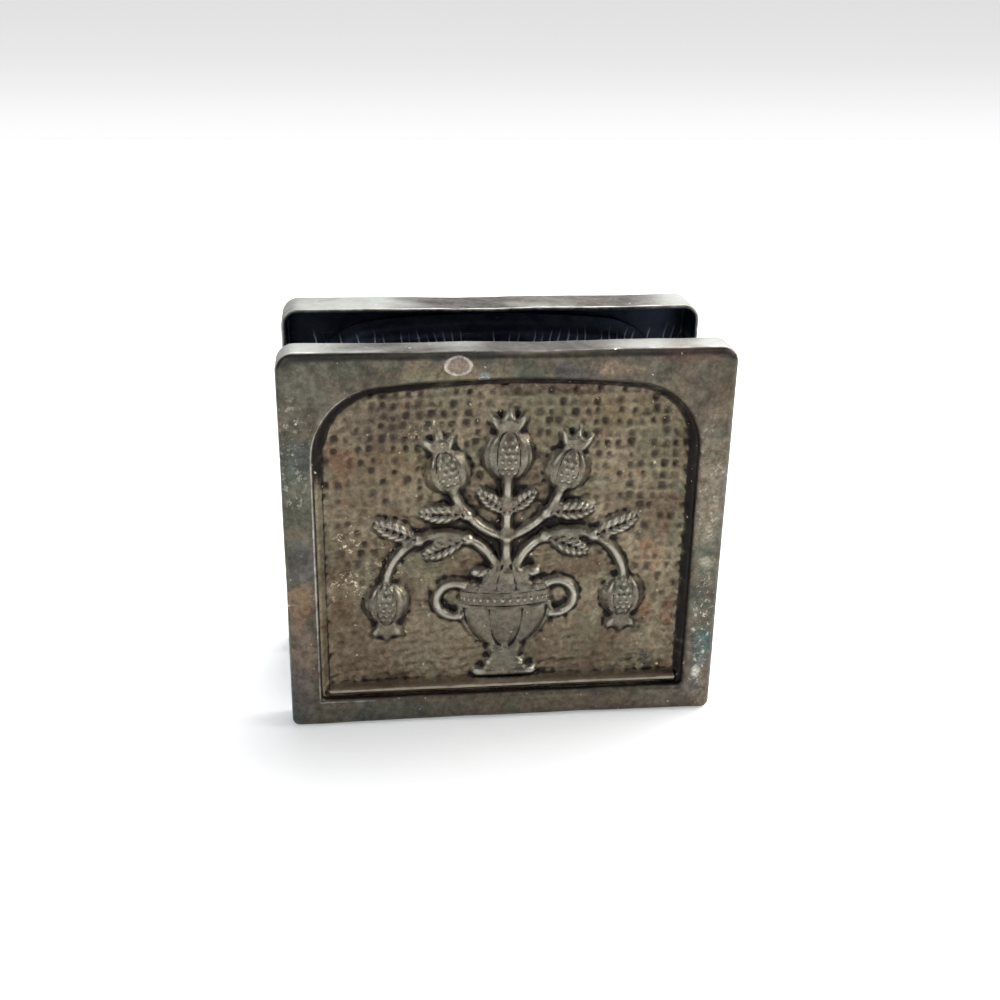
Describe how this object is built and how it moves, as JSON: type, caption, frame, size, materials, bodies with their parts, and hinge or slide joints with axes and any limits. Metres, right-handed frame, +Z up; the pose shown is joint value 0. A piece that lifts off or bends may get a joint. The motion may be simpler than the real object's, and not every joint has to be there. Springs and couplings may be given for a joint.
{
  "type": "matchbox holder",
  "caption": "Free-standing matchbox holder: raised and framed sheet-silver plates facing each other, tied by a base strip, with an open slot between them.",
  "frame": {"origin": "on the table under the holder, midway across its width and midway between the two plates' outer faces", "axes": "+X to the right along the plates' width, +Y from the front plate to the back plate, +Z up; the relief faces -Y"},
  "size_m": [0.074, 0.036, 0.0674],
  "materials": {
    "tarnished_silver": "old silver plate, satin, tarnished grey-olive with brown patches and bright worn edges",
    "oxidised_silver": "brown-bronze oxidised silver, near black in the hollows, bright on the worn relief",
    "dark_inside": "dull blue-black tarnish, unpolished"
  },
  "bodies": {
    "root": {"front_frame": "tarnished_silver", "front_panel": "oxidised_silver", "back_frame": "tarnished_silver", "back_panel": "oxidised_silver", "base_strip": "dark_inside"}
  },
  "joints": []
}
